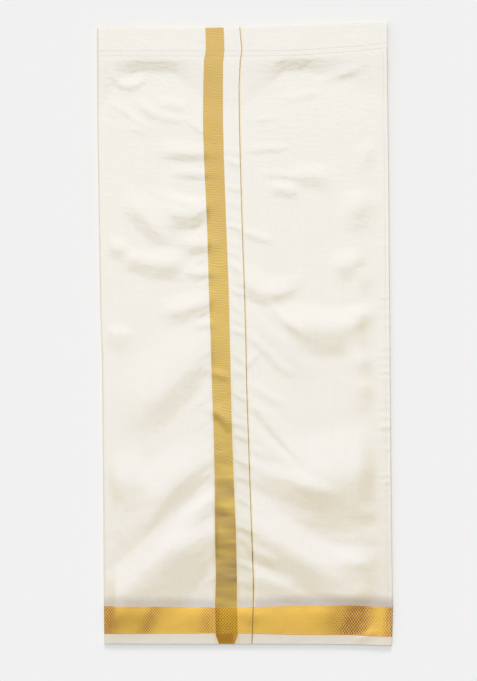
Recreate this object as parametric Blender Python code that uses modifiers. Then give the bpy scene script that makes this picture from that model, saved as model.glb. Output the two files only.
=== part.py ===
"""A ready-to-wear dhoti of cream art silk, laid flat with its back on the surface.

One length of cloth is wrapped round once and a half. Its outer stretch spans the front, from a soft
fold at the left to a narrow hem at the right. At the left it turns down to the back, and at the
right the back turns up to the under wrap, which lies between them. The waist edge of every stretch
is turned in and stitched down as a casing. The gold bands are woven in and stand no higher.

Metres, X to the right, Y towards the waist, Z up, origin on the surface under the box's centre.
"""

from collections import namedtuple
from math import pi

import bmesh
import bpy
import numpy as np

MM = 0.001

# Cloth
WALL = 1.0 * MM
GAP = 0.3 * MM
STEP = WALL + GAP  # from one ply to the next, middle to middle

# Turned edges, and how far the hidden stretches stay inside the outer wrap's outline
HEM_WIDTH = 8 * MM
SIDE_INSET = 1.0 * MM
TOP_INSET = 1.0 * MM
BACK_LIFT = 2.0 * MM
UNDER_LIFT = 3.0 * MM
UNDER_SHORT = 60 * MM

# Heights of the stretches, at the middle of their walls: at the waist each is two plies thick
BACK_LEVEL = WALL / 2
UNDER_LEVEL = BACK_LEVEL + STEP
UNDER_WAIST_LEVEL = BACK_LEVEL + 3 * STEP
FRONT_WAIST_LEVEL = BACK_LEVEL + 5 * STEP
WAIST_RADIUS = (FRONT_WAIST_LEVEL - BACK_LEVEL) / 2
WAIST_UNDER_RADIUS = (UNDER_WAIST_LEVEL - BACK_LEVEL) / 2
WAIST_FALL = 55 * MM  # below the stitching the stretches come down over this depth

# How the outer wrap lies
FRONT_SPARE = 0.4 * MM  # spare room under it where it lies lowest
LOFT = 1.2 * MM  # air under its middle
LEFT_ROLL = 1.6 * MM  # the soft fold at the left stands this much higher
LEFT_ROLL_DEPTH = 28 * MM
HEM_CLIMB = 30 * MM  # it climbs onto its hem over this depth
FOOT_CALM = 70 * MM  # the stiff border lays the folds down over this depth
FOOT_SHARE = 0.35  # to this share of their height

# Fineness of the grids
WAIST_ROWS = 7  # every stretch has as many rows over the depth in which it falls from the waist
FRONT_COLUMNS = 30
FRONT_ROWS = 46
PANEL_COLUMNS = 5
PANEL_ROWS = 14
HEM_ROWS = 36
CASING_COLUMNS = 16
TURN_STEPS = 5
HAIRPIN_STEPS = 4
PLY_STEPS = 2  # across each ply of a casing or hem
HEM_STEPS = 2 * PLY_STEPS + HAIRPIN_STEPS

# The outline as it lies, in millimetres: a row for each height, with the X of both sides
Side = namedtuple("Side", "y left right")
SIDES = (
    Side(-514, -232.6, 242.6),
    Side(-456, -233.0, 244.2),
    Side(-356, -233.6, 242.6),
    Side(-192, -234.8, 240.9),
    Side(-44, -236.2, 239.6),
    Side(55, -239.3, 238.8),
    Side(220, -241.7, 237.6),
    Side(352, -243.7, 236.0),
    Side(512, -244.2, 233.8),
)

# A row for each X, in millimetres, with the Y of the foot, the waist's stitching and its top fold
End = namedtuple("End", "x foot stitch top")
ENDS = (
    End(-244, -511.2, 456.5, 504.3),
    End(-60, -511.6, 456.5, 504.3),
    End(0, -511.6, 456.5, 505.2),
    End(41, -511.4, 456.7, 507.4),
    End(91, -511.6, 458.1, 509.3),
    End(140, -511.8, 461.4, 510.9),
    End(190, -512.8, 464.9, 512.6),
    End(234, -513.8, 470.4, 513.8),
)

# The largest folds, in millimetres: where each starts, passes half-way and ends, how far it
# reaches to either side, and its height, which is below zero for a trough
Fold = namedtuple("Fold", "x1 y1 x2 y2 x3 y3 reach height")
FOLDS = (
    # Left of the gold band, from the waist down
    Fold(-220, 446, -157, 424, -91, 444, 17, -1.8),
    Fold(-64, 306, -91, 301, -114, 290, 10, 1.6),
    Fold(-64, 202, -94, 192, -127, 164, 14, 2.6),
    Fold(-137, 196, -163, 200, -190, 184, 13, 1.8),
    Fold(-104, 125, -130, 118, -157, 88, 14, 2.0),
    Fold(-153, 128, -186, 128, -216, 118, 12, 1.6),
    Fold(-61, 56, -91, 46, -124, 19, 14, 2.6),
    Fold(-64, -14, -101, -67, -170, -133, 22, 4.4),
    Fold(-163, -225, -190, -241, -219, -271, 16, 2.2),
    Fold(-54, -187, -127, -241, -193, -316, 21, 4.2),
    Fold(-54, -220, -132, -294, -198, -382, 15, -2.4),
    Fold(-54, -256, -127, -340, -193, -440, 25, 5.2),
    # Right of the thin gold line, from the waist down
    Fold(38, 452, 91, 438, 165, 448, 17, -1.8),
    Fold(78, 399, 140, 418, 206, 442, 12, 1.4),
    Fold(8, 313, 41, 308, 74, 316, 11, 1.4),
    Fold(51, 263, 94, 250, 140, 260, 15, 1.8),
    Fold(153, 138, 177, 118, 196, 85, 13, 2.0),
    Fold(8, 102, 50, 64, 94, 84, 15, 3.0),
    Fold(21, 75, 107, 4, 213, 46, 22, 4.2),
    Fold(28, 36, 115, -39, 220, -4, 16, -2.2),
    Fold(183, -30, 206, -53, 229, -76, 12, 1.8),
    Fold(28, -149, 74, -187, 117, -232, 10, -2.0),
    Fold(18, -172, 91, -232, 216, -212, 20, 4.4),
    Fold(15, -238, 107, -311, 220, -360, 20, -2.6),
    Fold(16, -275, 78, -349, 154, -430, 24, 5.2),
    Fold(91, -374, 157, -420, 226, -407, 20, 3.4),
)
FOLD_SAMPLES = 25

# Waves that the hem's stitching draws along the right edge, between two shares of its length
PUCKERS = 12
PUCKER_HEIGHT = 0.7 * MM
PUCKER_REACH = 14 * MM
PUCKER_START = 0.30
PUCKER_STOP = 0.86

SILK = (0.86, 0.82, 0.73, 1.0)
SILK_ROUGHNESS = 0.42


def smooth(t):
    """Rise softly from 0 at 0 to 1 at 1."""
    t = np.clip(t, 0, 1)
    return t * t * (3 - 2 * t)


def side_x(y, side):
    """X of the left or right edge at height Y."""
    return np.interp(y, [row.y * MM for row in SIDES], [getattr(row, side) * MM for row in SIDES])


def end_y(x, end):
    """Y of the foot, the waist's stitching or its top fold at X."""
    return np.interp(x, [row.x * MM for row in ENDS], [getattr(row, end) * MM for row in ENDS])


def under_level(x, y):
    """Middle of the under wrap's wall, which comes down from its casing."""
    below = (end_y(x, "stitch") - y) / WAIST_FALL
    return UNDER_WAIST_LEVEL + (UNDER_LEVEL - UNDER_WAIST_LEVEL) * smooth(below)


def fold_height(fold, x, y):
    """What one fold adds at each place: a roll along a bent line that fades towards its ends."""
    t = np.linspace(0, 1, FOLD_SAMPLES)
    bend_x = 2 * fold.x2 - (fold.x1 + fold.x3) / 2
    bend_y = 2 * fold.y2 - (fold.y1 + fold.y3) / 2
    line_x = (1 - t) ** 2 * fold.x1 + 2 * t * (1 - t) * bend_x + t**2 * fold.x3
    line_y = (1 - t) ** 2 * fold.y1 + 2 * t * (1 - t) * bend_y + t**2 * fold.y3
    away = np.hypot(x[..., None] / MM - line_x, y[..., None] / MM - line_y)
    along = t[away.argmin(-1)]
    fade = np.sqrt(4 * along * (1 - along))
    return fold.height * MM * fade * np.exp(-((away.min(-1) / fold.reach) ** 2))


def pucker_height(x, y):
    """The waves along the hem's stitching."""
    stitch, foot = end_y(x, "stitch"), end_y(x, "foot")
    down = (stitch - y) / (stitch - foot)
    along = np.clip((down - PUCKER_START) / (PUCKER_STOP - PUCKER_START), 0, 1)
    inward = (side_x(y, "right") - HEM_WIDTH - x) / PUCKER_REACH
    return PUCKER_HEIGHT * np.sin(pi * PUCKERS * along) ** 2 * np.exp(-(inward**2))


def front_level(x, y):
    """Middle of the outer wrap's wall: it lies on the under wrap and stands up in its folds."""
    fallen = smooth((end_y(x, "stitch") - y) / WAIST_FALL)
    rolled = 1 - smooth((x - side_x(y, "left")) / LEFT_ROLL_DEPTH)
    climbed = 1 - smooth((side_x(y, "right") - HEM_WIDTH - x) / HEM_CLIMB)
    calm = FOOT_SHARE + (1 - FOOT_SHARE) * smooth((y - end_y(x, "foot")) / FOOT_CALM)
    lowest = under_level(x, y) + STEP * (1 + np.maximum(1 - fallen, climbed))
    folds = sum(fold_height(fold, x, y) for fold in FOLDS)
    raised = (LOFT + folds) * (1 - rolled) * (1 - climbed) + LEFT_ROLL * rolled
    waves = pucker_height(x, y)
    return lowest + fallen * (FRONT_SPARE + np.maximum(raised * calm + waves, 0))


def shares(u, steps):
    """How far along each stretch of steps u is, from 0 to 1, as u runs over all of them."""
    at = np.round(u * sum(steps))
    starts = np.cumsum((0, *steps))
    return [np.clip((at - start) / count, 0, 1) for start, count in zip(starts, steps)]


def hairpin(w):
    """A ply that is folded back under itself: distance from the fold, bulge past it, and depth."""
    out, turn, back = shares(w, (PLY_STEPS, HAIRPIN_STEPS, PLY_STEPS))
    return (1 - out) + back, np.sin(pi * turn) * STEP / 2, (1 - np.cos(pi * turn)) * STEP / 2


def row_share(v, rows):
    """The height of a row, as a share of the whole: the rows near the waist lie closer."""
    below, fall = shares(v, (rows, WAIST_ROWS))
    fall_share = WAIST_FALL / (end_y(0, "stitch") - end_y(0, "foot"))
    return below * (1 - fall_share) + fall * fall_share


def nominal_y(v):
    """Y for a share of the height between the foot and the waist's stitching, at mid-width."""
    return end_y(0, "foot") + (end_y(0, "stitch") - end_y(0, "foot")) * v


def panel_y(x, v, lift=0.0):
    """Y of a share of the height at X, from a foot that is lifted to the waist's stitching."""
    foot = end_y(x, "foot") + lift
    return foot + (end_y(x, "stitch") - GAP / 2 - foot) * v


def cloth(name, columns, rows, place):
    """A wall of cloth on a grid: place gives the middle of the wall for u and v from 0 to 1."""
    shape = bmesh.new()
    bmesh.ops.create_grid(shape, x_segments=columns, y_segments=rows, size=0.5)
    grid = np.array([vert.co[:] for vert in shape.verts]) + 0.5
    for vert, spot in zip(shape.verts, np.stack(place(grid[:, 0], grid[:, 1]), axis=-1)):
        vert.co = spot
    mesh = bpy.data.meshes.new(name)
    shape.to_mesh(mesh)
    shape.free()
    mesh.shade_smooth()
    piece = bpy.data.objects.new(name, mesh)
    wall = piece.modifiers.new("Wall", "SOLIDIFY")
    wall.thickness = WALL
    wall.offset = 0
    wall.use_even_offset = True
    finish = bpy.data.materials.new(name)
    finish.use_nodes = True
    shader = finish.node_tree.nodes["Principled BSDF"]
    shader.inputs["Base Color"].default_value = SILK
    shader.inputs["Roughness"].default_value = SILK_ROUGHNESS
    mesh.materials.append(finish)
    return piece


def outer_wrap():
    """The front stretch: from the back's level round the left fold and across to the hem."""

    def place(u, v):
        v = row_share(v, FRONT_ROWS)
        turn, over = shares(u, (TURN_STEPS, FRONT_COLUMNS))
        left = side_x(nominal_y(v), "left") + WALL / 2
        right = side_x(nominal_y(v), "right") - HEM_WIDTH
        radius = (front_level(left, panel_y(left, v)) - BACK_LEVEL) / 2
        angle = pi * turn
        x = left + radius - radius * np.sin(angle) + (right - left - radius) * over
        y = panel_y(x, v)
        z = BACK_LEVEL + radius * (1 - np.cos(angle))
        return x, y, np.where(over > 0, front_level(x, y), z)

    return cloth("outer_wrap", TURN_STEPS + FRONT_COLUMNS, FRONT_ROWS + WAIST_ROWS, place)


def side_hem():
    """The outer wrap's free edge, turned under from its stitching."""

    def place(u, v):
        v = row_share(v, HEM_ROWS)
        from_fold, bulge, depth = hairpin(u)
        right = side_x(nominal_y(v), "right")
        fold = right - WALL / 2 - STEP / 2
        seam = right - HEM_WIDTH
        x = fold + (seam + GAP - fold) * from_fold + bulge
        y = panel_y(x, v)
        return x, y, front_level(seam, panel_y(seam, v)) - depth

    return cloth("side_hem", HEM_STEPS, HEM_ROWS + WAIST_ROWS, place)


def back_panel():
    """The stretch on the surface, with its turn up at the right."""

    def place(u, v):
        v = row_share(v, PANEL_ROWS)
        over, turn = shares(u, (PANEL_COLUMNS, TURN_STEPS))
        fold = side_x(nominal_y(v), "left") + WALL / 2
        left = fold + (front_level(fold, panel_y(fold, v)) - BACK_LEVEL) / 2 + GAP
        right = side_x(nominal_y(v), "right") - SIDE_INSET - WALL / 2
        radius = (under_level(right, panel_y(right, v)) - BACK_LEVEL) / 2
        angle = pi * turn
        x = left + (right - radius - left) * over + radius * np.sin(angle)
        y = panel_y(x, v, BACK_LIFT)
        return x, y, BACK_LEVEL + radius * (1 - np.cos(angle))

    return cloth("back_panel", PANEL_COLUMNS + TURN_STEPS, PANEL_ROWS + WAIST_ROWS, place)


def under_wrap():
    """The end of the length, between front and back, from the back's turn to its own plain edge."""

    def place(u, v):
        v = row_share(v, PANEL_ROWS)
        right = side_x(nominal_y(v), "right") - SIDE_INSET - WALL / 2
        radius = (under_level(right, panel_y(right, v)) - BACK_LEVEL) / 2
        start = side_x(nominal_y(v), "left") + UNDER_SHORT
        x = start + (right - radius - GAP - start) * u
        y = panel_y(x, v, UNDER_LIFT)
        return x, y, under_level(x, y)

    return cloth("under_wrap", PANEL_COLUMNS, PANEL_ROWS + WAIST_ROWS, place)


def casing_y(x, from_fold, bulge, inset):
    """Y of a ply of a casing, from the stitching to the top fold."""
    fold = end_y(x, "top") - inset - WALL / 2 - STEP / 2
    return fold + (end_y(x, "stitch") + GAP / 2 - fold) * from_fold + bulge


def waist_x(side):
    """X of the left or right edge at the waist's top fold."""
    return getattr(SIDES[-1], side) * MM


def waist_casing_front():
    """The top of the outer wrap, turned in, with its turn down at the left."""

    def place(u, v):
        turn, over = shares(u, (TURN_STEPS, CASING_COLUMNS))
        from_fold, bulge, depth = hairpin(v)
        left = waist_x("left") + WALL / 2 + WAIST_RADIUS
        right = waist_x("right")
        angle = pi * turn
        x = left + (right - left) * over - (WAIST_RADIUS - depth) * np.sin(angle)
        y = casing_y(x, from_fold, bulge, 0)
        return x, y, BACK_LEVEL + WAIST_RADIUS - (WAIST_RADIUS - depth) * np.cos(angle)

    return cloth("waist_casing_front", TURN_STEPS + CASING_COLUMNS, HEM_STEPS, place)


def waist_casing_back():
    """The top of the back, turned in, with its turn up at the right."""

    def place(u, v):
        over, turn = shares(u, (PANEL_COLUMNS, TURN_STEPS))
        from_fold, bulge, depth = hairpin(v)
        left = waist_x("left") + WALL / 2 + WAIST_RADIUS + GAP
        right = waist_x("right") - SIDE_INSET - WALL / 2 - WAIST_UNDER_RADIUS
        angle = pi * turn
        x = left + (right - left) * over + (WAIST_UNDER_RADIUS - depth) * np.sin(angle)
        y = casing_y(x, from_fold, bulge, TOP_INSET)
        middle = BACK_LEVEL + WAIST_UNDER_RADIUS
        return x, y, middle - (WAIST_UNDER_RADIUS - depth) * np.cos(angle)

    return cloth("waist_casing_back", PANEL_COLUMNS + TURN_STEPS, HEM_STEPS, place)


def waist_casing_under():
    """The top of the under wrap, turned in."""

    def place(u, v):
        from_fold, bulge, depth = hairpin(v)
        left = waist_x("left") + UNDER_SHORT
        right = waist_x("right") - SIDE_INSET - WALL / 2 - WAIST_UNDER_RADIUS - GAP
        x = left + (right - left) * u
        return x, casing_y(x, from_fold, bulge, TOP_INSET), UNDER_WAIST_LEVEL - depth

    return cloth("waist_casing_under", PANEL_COLUMNS, HEM_STEPS, place)


def main():
    """Make the dhoti in an empty scene."""
    for left_over in list(bpy.data.objects):
        bpy.data.objects.remove(left_over, do_unlink=True)
    dhoti = bpy.data.collections.new("dhoti")
    bpy.context.scene.collection.children.link(dhoti)
    makers = (
        outer_wrap,
        side_hem,
        back_panel,
        under_wrap,
        waist_casing_front,
        waist_casing_back,
        waist_casing_under,
    )
    for make in makers:
        dhoti.objects.link(make())


main()
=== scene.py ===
"""Looks of a ready-to-wear dhoti of cream art silk, laid flat and seen from straight above.

Each stretch of the wrap is a thin shell of cloth in the space that its solid holds, with the folds
placed one by one. The gold bands are woven in, so they are part of the cloth's finish, which follows
the weave through the map "cloth": across from the wide band's left side, and up from the border's
foot, in metres. The sewing is in thread.

Metres, X to the right, Y towards the waist, Z up.
"""

import math
from collections import namedtuple

import bmesh
import bpy
import numpy as np
from bpy.props import FloatProperty, FloatVectorProperty, PointerProperty
from bpy.types import Operator, Panel, PropertyGroup
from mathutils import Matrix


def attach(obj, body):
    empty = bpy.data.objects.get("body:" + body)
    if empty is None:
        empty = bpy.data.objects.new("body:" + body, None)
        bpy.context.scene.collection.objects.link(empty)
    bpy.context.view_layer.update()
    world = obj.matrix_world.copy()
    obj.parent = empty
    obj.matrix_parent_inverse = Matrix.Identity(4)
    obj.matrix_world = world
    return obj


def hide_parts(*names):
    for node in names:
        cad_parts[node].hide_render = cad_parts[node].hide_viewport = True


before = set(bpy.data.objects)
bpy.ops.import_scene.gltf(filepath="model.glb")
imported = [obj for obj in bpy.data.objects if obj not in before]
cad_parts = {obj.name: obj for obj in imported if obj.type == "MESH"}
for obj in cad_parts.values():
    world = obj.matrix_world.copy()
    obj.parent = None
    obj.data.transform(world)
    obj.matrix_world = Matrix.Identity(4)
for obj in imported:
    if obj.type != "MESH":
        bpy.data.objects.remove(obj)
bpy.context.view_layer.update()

bl_info = {
    "name": "Dhoti cloth",
    "version": (1, 0, 0),
    "blender": (4, 5, 0),
    "location": "3D View > Sidebar > Dhoti",
    "description": "A ready-to-wear dhoti of cream silk with woven gold bands, laid flat",
    "category": "Add Mesh",
}

MM = 0.001

# The walls of the solids, and the levels that they lie at
WALL = 1.0 * MM
STEP = 1.3 * MM  # from one ply to the next, middle to middle
BACK_LEVEL = WALL / 2
UNDER_LEVEL = BACK_LEVEL + STEP
UNDER_WAIST_LEVEL = BACK_LEVEL + 3 * STEP
FRONT_WAIST_LEVEL = BACK_LEVEL + 5 * STEP
WAIST_RADIUS = (FRONT_WAIST_LEVEL - BACK_LEVEL) / 2
WAIST_UNDER_RADIUS = (UNDER_WAIST_LEVEL - BACK_LEVEL) / 2

# How far the hidden stretches stay inside the outer wrap's outline
SIDE_INSET = 1.0 * MM
TOP_INSET = 1.0 * MM
BACK_LIFT = 2.0 * MM
UNDER_LIFT = 3.0 * MM
UNDER_SHORT = 60 * MM

# How the outer wrap lies
WAIST_FALL = 24 * MM  # the under wrap comes down from its casing over this depth
SETTLE = 120 * MM  # below the casing the outer wrap takes this depth to stand up to its loft
LOFT = 2.0 * MM
SOFT_LANDING = 0.8 * MM  # how roundly it meets the under wrap
LEFT_ROLL = 1.6 * MM  # it stands up this far in its soft fold at the left
LEFT_ROLL_DEPTH = 24 * MM
HEM_CLIMB = 52 * MM  # it rises over this width to lie on the hem's inner ply
FOOT_CALM = 55 * MM  # near the foot its folds keep less of their height
FOOT_SHARE = 0.45
BAND_CALM = 0.55  # the gold band is stiffer: its folds keep this share of their height
BAND_SIDE = 6 * MM  # its stiffness sets in over this width
TIED = 12 * MM  # folds rise over this depth below the casing's stitching
SEAM_DIP = 0.15 * MM  # cloth sinks this far along a row of stitching
SEAM_REACH = 2.2 * MM


def table(kind, *rows):
    """Rows with named columns."""
    return [kind(*row) for row in rows]


# The outline as it lies, in millimetres: a row for each height, with the X of both sides
SIDES = table(
    namedtuple("Side", "y left right"),
    (-514, -232.6, 242.6),
    (-456, -233.0, 244.2),
    (-356, -233.6, 242.6),
    (-192, -234.8, 240.9),
    (-44, -236.2, 239.6),
    (55, -239.3, 238.8),
    (220, -241.7, 237.6),
    (352, -243.7, 236.0),
    (512, -244.2, 233.8),
)

# A row for each X, in millimetres, with the Y of the foot, the waist's stitching and its top fold
ENDS = table(
    namedtuple("End", "x foot stitch top"),
    (-244, -511.2, 456.5, 504.3),
    (-60, -511.6, 456.5, 504.3),
    (0, -511.6, 456.5, 505.2),
    (41, -511.4, 456.7, 507.4),
    (91, -511.6, 458.1, 509.3),
    (140, -511.8, 461.4, 510.9),
    (190, -512.8, 464.9, 512.6),
    (234, -513.8, 470.4, 513.8),
)

# Over what depth the outer wrap comes down from its casing, in millimetres: a row for each X
FALLS = table(
    namedtuple("Fall", "x depth"),
    (-244, 110),
    (-226, 72),
    (-208, 42),
    (-180, 30),
    (-122, 31),
    (-100, 46),
    (-80, 66),
    (-50, 96),
    (-10, 96),
    (30, 62),
    (64, 29),
    (102, 29),
    (134, 42),
    (170, 54),
    (234, 90),
)

# Where the gold band and the thin gold line run, in millimetres: a row for each height
WOVEN = table(
    namedtuple("Woven", "y left right line"),
    (-512, -47.9, -11.6, 11.6),
    (-444, -49.5, -13.2, 14.0),
    (-405, -48.0, -13.2, 14.0),
    (-326, -49.6, -14.9, 11.2),
    (-246, -49.8, -18.2, 8.3),
    (-167, -51.5, -21.3, 5.8),
    (-88, -54.4, -23.2, 3.0),
    (-9, -56.6, -24.8, 1.6),
    (70, -59.6, -26.6, -0.6),
    (150, -61.6, -29.7, -3.5),
    (189, -62.9, -31.3, -4.8),
    (288, -67.6, -34.7, -7.6),
    (348, -69.2, -36.3, -8.8),
    (407, -68.9, -36.4, -9.5),
    (448, -67.6, -36.0, -7.6),
    (468, -64.6, -33.8, -5.0),
    (504, -65.2, -35.3, -8.3),
)

# The woven border's lower and upper sides, in millimetres: a row for each X
BORDERS = table(
    namedtuple("Border", "x low high"),
    (-240, -495.6, -449.2),
    (-74, -494.7, -451.0),
    (-25, -493.9, -452.6),
    (74, -497.0, -448.5),
    (173, -497.4, -447.7),
    (240, -500.5, -451.0),
)

# Folds of the outer wrap, in millimetres, written from left to right: where the crest starts, passes
# half-way and ends, how far it falls towards the waist and towards the foot, and its height. They
# gather at the stiff gold band and open out away from it.
Fold = namedtuple("Fold", "x1 y1 x2 y2 x3 y3 above below height")
LEFT_FOLDS = table(
    Fold,
    # Under the casing
    (-232, 446, -190, 409, -148, 436, 18, 13, 1.7),
    (-228, 388, -208, 370, -190, 356, 9, 7, 0.7),
    (-210, 392, -182, 352, -148, 332, 10, 8, 0.9),
    (-200, 347, -179, 336, -156, 324, 9, 8, 0.7),
    (-184, 388, -158, 368, -128, 352, 14, 12, 1.3),
    (-152, 382, -120, 378, -88, 372, 16, 18, 1.4),
    (-150, 362, -120, 356, -90, 350, 12, 14, 1.0),
    (-102, 360, -80, 341, -48, 314, 10, 8, 1.0),
    (-158, 304, -98, 299, -30, 296, 24, 20, 2.0),
    (-132, 267, -84, 264, -30, 261, 16, 14, 1.3),
    (-152, 238, -106, 220, -60, 208, 16, 14, 1.2),
    # Around the knee
    (-162, 222, -104, 199, -36, 222, 32, 38, 3.4),
    (-206, 240, -156, 186, -108, 132, 32, 30, 2.7),
    (-232, 146, -208, 142, -184, 134, 20, 26, 1.7),
    (-118, 150, -80, 148, -30, 150, 26, 26, 2.0),
    (-206, 126, -174, 122, -146, 108, 22, 28, 2.0),
    (-172, 114, -132, 117, -92, 110, 28, 34, 2.6),
    (-110, 102, -78, 100, -32, 98, 16, 16, 1.3),
    (-152, 30, -100, 42, -34, 64, 28, 30, 2.3),
    (-98, 16, -70, 15, -34, 17, 14, 14, 0.8),
    (-238, 2, -206, 0, -180, -10, 18, 38, 1.3),
    # The long slanting folds
    (-206, -174, -116, -74, -16, 22, 80, 48, 2.7),
    (-200, -400, -140, -274, -14, -176, 60, 44, 2.6),
    (-232, -270, -194, -246, -140, -236, 60, 56, 1.9),
    (-106, -322, -70, -284, -26, -250, 18, 28, 1.1),
    (-290, -518, -135, -369, -8, -250, 50, 86, 3.4),
    (-150, -386, -66, -338, 30, -304, 30, 110, 1.2),
)
RIGHT_FOLDS = table(
    Fold,
    # Under the casing
    (98, 410, 158, 427, 222, 454, 16, 12, 0.9),
    (46, 386, 92, 392, 140, 405, 13, 11, 0.7),
    (2, 352, 32, 354, 64, 359, 9, 8, 0.6),
    (-14, 300, 34, 304, 84, 306, 13, 7, 0.8),
    (14, 264, 60, 262, 106, 252, 11, 9, 0.8),
    (66, 258, 110, 262, 154, 244, 24, 26, 1.8),
    (32, 241, 64, 239, 98, 230, 14, 18, 1.5),
    (178, 296, 208, 300, 246, 288, 26, 40, 2.3),
    (150, 206, 192, 212, 244, 200, 32, 54, 2.7),
    (-22, 175, 18, 161, 58, 147, 12, 11, 0.9),
    # Around the knee
    (136, 104, 172, 118, 208, 124, 26, 36, 2.0),
    (172, 82, 206, 92, 244, 98, 22, 32, 1.4),
    (-26, 132, 34, 68, 108, 88, 34, 27, 2.4),
    (14, 70, 62, 27, 110, -12, 14, 20, 1.0),
    (28, 44, 128, 10, 236, 30, 40, 56, 3.2),
    (156, 26, 204, 34, 250, 40, 18, 28, 1.3),
    (182, 10, 190, -62, 206, -146, 36, 34, 1.2),
    (160, -34, 202, -44, 250, -44, 20, 30, 0.8),
    (176, -80, 208, -90, 246, -100, 14, 26, 0.6),
    (-16, 74, 50, -8, 132, -82, 28, 40, 1.2),
    (-4, 10, 26, -20, 60, -46, 11, 12, 0.6),
    (-12, -72, 8, -46, 30, -22, 8, 10, 0.5),
    (26, -28, 54, -50, 90, -76, 13, 13, 0.5),
    (-12, -72, 32, -98, 76, -126, 13, 15, 0.6),
    # The long slanting folds
    (-14, -76, 66, -180, 160, -272, 30, 12, 0.8),
    (-16, -128, 62, -206, 164, -282, 16, 30, 0.9),
    (-16, -120, 16, -124, 48, -140, 10, 12, 0.35),
    (-8, -182, 24, -196, 58, -218, 11, 14, 0.4),
    (-26, -198, 64, -240, 176, -276, 24, 40, 1.4),
    (44, -254, 150, -236, 268, -216, 90, 98, 3.4),
    (180, -294, 214, -295, 256, -288, 20, 20, 0.9),
    (194, -335, 224, -337, 256, -330, 14, 16, 0.5),
    (124, -364, 194, -378, 262, -368, 30, 36, 1.3),
    (-50, -254, 90, -370, 250, -430, 52, 50, 2.7),
    (90, -408, 166, -428, 256, -420, 38, 34, 1.2),
    (-20, -350, 26, -366, 66, -386, 16, 16, 0.6),
    (-22, -394, 42, -410, 116, -436, 24, 28, 0.9),
)
# Folds that cross the border, and the wrinkles of the gold band
BORDER_FOLDS = table(
    Fold,
    (-238, -452, -224, -462, -206, -486, 30, 30, 0.7),
    (-178, -450, -164, -466, -146, -492, 30, 22, 0.3),
    (-102, -452, -78, -462, -46, -464, 36, 36, 0.4),
    (-14, -448, 4, -462, 22, -484, 26, 18, 0.5),
    (100, -446, 156, -456, 206, -454, 40, 44, 1.1),
    (200, -446, 218, -462, 238, -490, 26, 18, 0.6),
    (174, -508, 202, -499, 232, -485, 12, 12, 1.4),
)
BAND_FOLDS = table(
    Fold,
    (-72, -60, -44, -66, -16, -78, 10, 12, 0.7),
    (-68, -118, -38, -136, -18, -168, 16, 14, 1.4),
    (-66, -232, -36, -240, -8, -244, 14, 16, 0.5),
    (-64, -276, -34, -286, -6, -296, 14, 14, 0.45),
    (-62, -330, -36, -340, -4, -348, 18, 20, 0.4),
    (-62, -392, -34, -402, -4, -424, 18, 20, 0.5),
)
# Folds of the stretch on the surface, seen from below: they lift off it
BACK_FOLDS = table(
    Fold,
    (-214, 396, -120, 372, -10, 402, 22, 16, 0.5),
    (20, 330, 96, 306, 196, 322, 18, 24, 0.45),
    (-190, 214, -100, 236, 12, 200, 24, 18, 0.5),
    (60, 168, 130, 120, 214, 132, 20, 26, 0.55),
    (-218, 60, -140, 18, -44, 30, 26, 20, 0.6),
    (-20, -40, 82, -92, 206, -60, 24, 30, 0.55),
    (-206, -196, -132, -150, -30, -136, 22, 26, 0.5),
    (10, -238, 96, -214, 210, -250, 26, 22, 0.6),
    (-196, -382, -110, -330, -6, -300, 24, 30, 0.55),
    (40, -400, 122, -372, 208, -392, 20, 18, 0.45),
)
# Stretches of painted shade on the border's metal thread, in millimetres: the middle, from the band's
# left side, half the width, how far it leans to the right at its top, and how much darker it is
SHADES = table(
    namedtuple("Shade", "at half lean depth"),
    (-178, 13, 0, 1.0),
    (-120, 10, 22, 0.8),
    (-14, 14, 6, 0.7),
    (58, 5, 0, 0.4),
    (212, 32, 8, 0.55),
    (226, 24, 12, 0.55),
    (286, 8, 0, 1.1),
)
GATHER = 0.75  # a fold at the band is this share as wide and as high
GATHER_DEPTH = 60 * MM
TIP = 0.4  # a fold rises from its tips over this share of its length
ROUND = 0.24  # and its crest and feet are round over this share of its flank

# Rows of short puckers down the gold band, in millimetres: how many, the Y of the first, the step down
# to the next, how far each falls towards the waist and towards the foot, its height, how much that
# varies, and the share of the height that is lost by the last
Puckers = namedtuple("Puckers", "count start step above below height uneven lost")
STRIP = Puckers(34, 300, 21.5, 9, 8, 0.6, 0.25, 0.5)
FAN = Puckers(40, 210, 15.5, 7, 6, 0.25, 0.12, 0.6)
PUCKER_SHIFT = 4  # up or down from their even places
STRIP_LAPS = (4, 5)  # past the band's right side and past the line
STRIP_RAGGED = 3  # how far their right ends are out of line
STRIP_BOW = 1
STRIP_DROPS = (6, 11)  # half the fall of the first, and of those after the steepening
STRIP_STEEPENING = 12
STRIP_DROP_UNEVEN = 3
FAN_LAP = 6
FAN_LENGTH = 34
FAN_LENGTH_UNEVEN = 12
FAN_DROPS = (0.3, 0.75)  # how far the middle and the outer end lie below the band's end, by length

# Puckers that the hem's stitching draws along the right side
HEM_PUCKERS = 46
HEM_PUCKER_HEIGHT = 0.6 * MM
HEM_PUCKER_REACH = 10 * MM
HEM_PUCKER_START = 0.20
HEM_PUCKER_STOP = 0.86
# What makes them uneven: a swing's share, how far it turns over the hem, in radians, and its start
Swing = namedtuple("Swing", "share turn start")
HEM_PUCKER_SHIFT = Swing(1.5, 23, 0)
HEM_PUCKER_MEAN = 0.55
HEM_PUCKER_SLOW = Swing(0.3, 41, 0)
HEM_PUCKER_QUICK = Swing(0.25, 97, 1)

# Fineness of the shells
FRONT_COLUMNS = 150
FRONT_ROWS = 300
TURN_STEPS = 8
PANEL_COLUMNS = 60
PANEL_ROWS = 130
CASING_COLUMNS = 130
PLY_ROWS = 14
FOLD_ROWS = 8
HEM_COLUMNS = 4
HEM_ROWS = 300
SMOOTH_ANGLE = math.radians(50)


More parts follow.
